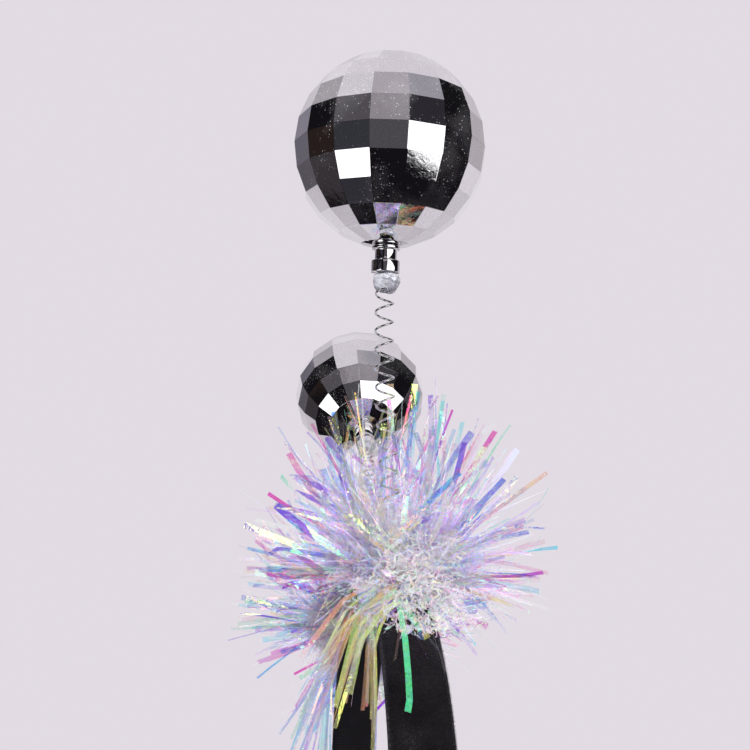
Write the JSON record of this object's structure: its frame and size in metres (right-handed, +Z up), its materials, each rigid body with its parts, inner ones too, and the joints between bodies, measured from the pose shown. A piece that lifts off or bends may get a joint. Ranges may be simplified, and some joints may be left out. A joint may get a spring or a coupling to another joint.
{
  "type": "head bopper headband",
  "caption": "Velvet-covered headband whose crown carries tinsel pom-poms with faceted mirror balls bobbing on coil springs.",
  "frame": {"origin": "centre of the arc of the hoop's crown, on the inner lining's axis, midway across the band's width", "axes": "+Z up through the crown and out between the springs, +X to the wearer's left along the hoop's span, -Y to the wearer's front"},
  "size_m": [0.2139, 0.0965, 0.2872],
  "materials": {
    "velvet": "matte",
    "velvet_ribbon": "matte",
    "hoop_plastic": "satin",
    "hot_glue": "gloss",
    "garland_wire": "satin",
    "tinsel_film": "gloss",
    "spring_wire": "polished",
    "chrome_plastic": "polished",
    "mirror_plastic": "polished"
  },
  "bodies": {
    "hoop": {"crown_core": "hoop_plastic", "crown_cover": "velvet", "crown_lining": "velvet_ribbon", "left_base_glue": "hot_glue", "left_garland_core": "garland_wire", "left_tinsel": "tinsel_film", "left_spring_foot": "spring_wire", "right_base_glue": "hot_glue", "right_garland_core": "garland_wire", "right_tinsel": "tinsel_film", "right_spring_foot": "spring_wire"},
    "left_leg": {"left_leg_core": "hoop_plastic", "left_leg_cover": "velvet", "left_leg_lining": "velvet_ribbon"},
    "left_coil_1": {"left_spring_coil_1": "spring_wire"},
    "left_coil_2": {"left_spring_coil_2": "spring_wire"},
    "left_coil_3": {"left_spring_coil_3": "spring_wire"},
    "left_coil_4": {"left_spring_coil_4": "spring_wire"},
    "left_ball": {"left_spring_top": "spring_wire", "left_top_glue": "hot_glue", "left_neck": "chrome_plastic", "left_ball_lower": "mirror_plastic", "left_ball_upper": "mirror_plastic"},
    "right_leg": {"right_leg_core": "hoop_plastic", "right_leg_cover": "velvet", "right_leg_lining": "velvet_ribbon"},
    "right_coil_1": {"right_spring_coil_1": "spring_wire"},
    "right_coil_2": {"right_spring_coil_2": "spring_wire"},
    "right_coil_3": {"right_spring_coil_3": "spring_wire"},
    "right_coil_4": {"right_spring_coil_4": "spring_wire"},
    "right_ball": {"right_spring_top": "spring_wire", "right_top_glue": "hot_glue", "right_neck": "chrome_plastic", "right_ball_lower": "mirror_plastic", "right_ball_upper": "mirror_plastic"}
  },
  "joints": [
    {"name": "left_leg_flex", "type": "hinge", "parent": "hoop", "child": "left_leg", "pos_m": [0.06351, 0, 0.01702], "axis": [0, -1, 0], "range_deg": [-3, 12], "stiffness_Nm_per_rad": 0.6},
    {"name": "left_sway", "type": "hinge", "parent": "hoop", "child": "left_coil_1", "pos_m": [0.03002, 0.00132, 0.07329], "axis": [0.9721, 0, -0.2346], "range_deg": [-25, 25], "stiffness_Nm_per_rad": 0.05, "springref_deg": -0.48, "deforming": ["left_spring_foot"]},
    {"name": "left_lean", "type": "hinge", "parent": "left_coil_1", "child": "left_coil_2", "pos_m": [0.03416, -0.00038, 0.08865], "axis": [0.0276, 0.9953, 0.0927], "range_deg": [-12, 25], "stiffness_Nm_per_rad": 0.05, "springref_deg": -3.4, "deforming": ["left_spring_coil_1"]},
    {"name": "left_sway_upper", "type": "hinge", "parent": "left_coil_2", "child": "left_coil_3", "pos_m": [0.03911, -0.00178, 0.1038], "axis": [0.9419, 0, -0.3358], "range_deg": [-25, 25], "stiffness_Nm_per_rad": 0.05, "springref_deg": -0.23, "deforming": ["left_spring_coil_2"]},
    {"name": "left_lean_upper", "type": "hinge", "parent": "left_coil_3", "child": "left_coil_4", "pos_m": [0.04487, -0.00286, 0.11869], "axis": [0.0223, 0.9983, 0.0535], "range_deg": [-12, 25], "stiffness_Nm_per_rad": 0.05, "springref_deg": -2.54, "deforming": ["left_spring_coil_3"]},
    {"name": "left_bob", "type": "slide", "parent": "left_coil_4", "child": "left_ball", "axis": [0.4229, -0.0427, 0.9052], "range_m": [-0.01, 0.01], "stiffness_N_per_m": 12, "springref_m": 0.00533, "deforming": ["left_spring_coil_4"]},
    {"name": "right_leg_flex", "type": "hinge", "parent": "hoop", "child": "right_leg", "pos_m": [-0.06351, 0, 0.01702], "axis": [0, 1, 0], "range_deg": [-3, 12], "stiffness_Nm_per_rad": 0.6},
    {"name": "right_sway", "type": "hinge", "parent": "hoop", "child": "right_coil_1", "pos_m": [-0.03003, 0.00146, 0.07333], "axis": [0.9721, 0, 0.2346], "range_deg": [-25, 25], "stiffness_Nm_per_rad": 0.05, "springref_deg": 0.35, "deforming": ["right_spring_foot"]},
    {"name": "right_lean", "type": "hinge", "parent": "right_coil_1", "child": "right_coil_2", "pos_m": [-0.03418, 0.00279, 0.08872], "axis": [-0.0214, -0.9972, 0.0716], "range_deg": [-12, 25], "stiffness_Nm_per_rad": 0.05, "springref_deg": -3.4, "deforming": ["right_spring_coil_1"]},
    {"name": "right_sway_upper", "type": "hinge", "parent": "right_coil_2", "child": "right_coil_3", "pos_m": [-0.03914, 0.00385, 0.10389], "axis": [0.9419, 0, 0.3358], "range_deg": [-25, 25], "stiffness_Nm_per_rad": 0.05, "springref_deg": 0.16, "deforming": ["right_spring_coil_2"]},
    {"name": "right_lean_upper", "type": "hinge", "parent": "right_coil_3", "child": "right_coil_4", "pos_m": [-0.0449, 0.00466, 0.1188], "axis": [-0.0164, -0.9991, 0.0393], "range_deg": [-12, 25], "stiffness_Nm_per_rad": 0.05, "springref_deg": -2.54, "deforming": ["right_spring_coil_3"]},
    {"name": "right_bob", "type": "slide", "parent": "right_coil_4", "child": "right_ball", "axis": [-0.4231, 0.0299, 0.9056], "range_m": [-0.01, 0.01], "stiffness_N_per_m": 12, "springref_m": 0.00533, "deforming": ["right_spring_coil_4"]}
  ],
  "couplings": [
    {"joint": "left_sway_upper", "follows": "left_sway", "ratio": 1},
    {"joint": "left_lean_upper", "follows": "left_lean", "ratio": 1},
    {"joint": "right_sway_upper", "follows": "right_sway", "ratio": 1},
    {"joint": "right_lean_upper", "follows": "right_lean", "ratio": 1}
  ]
}
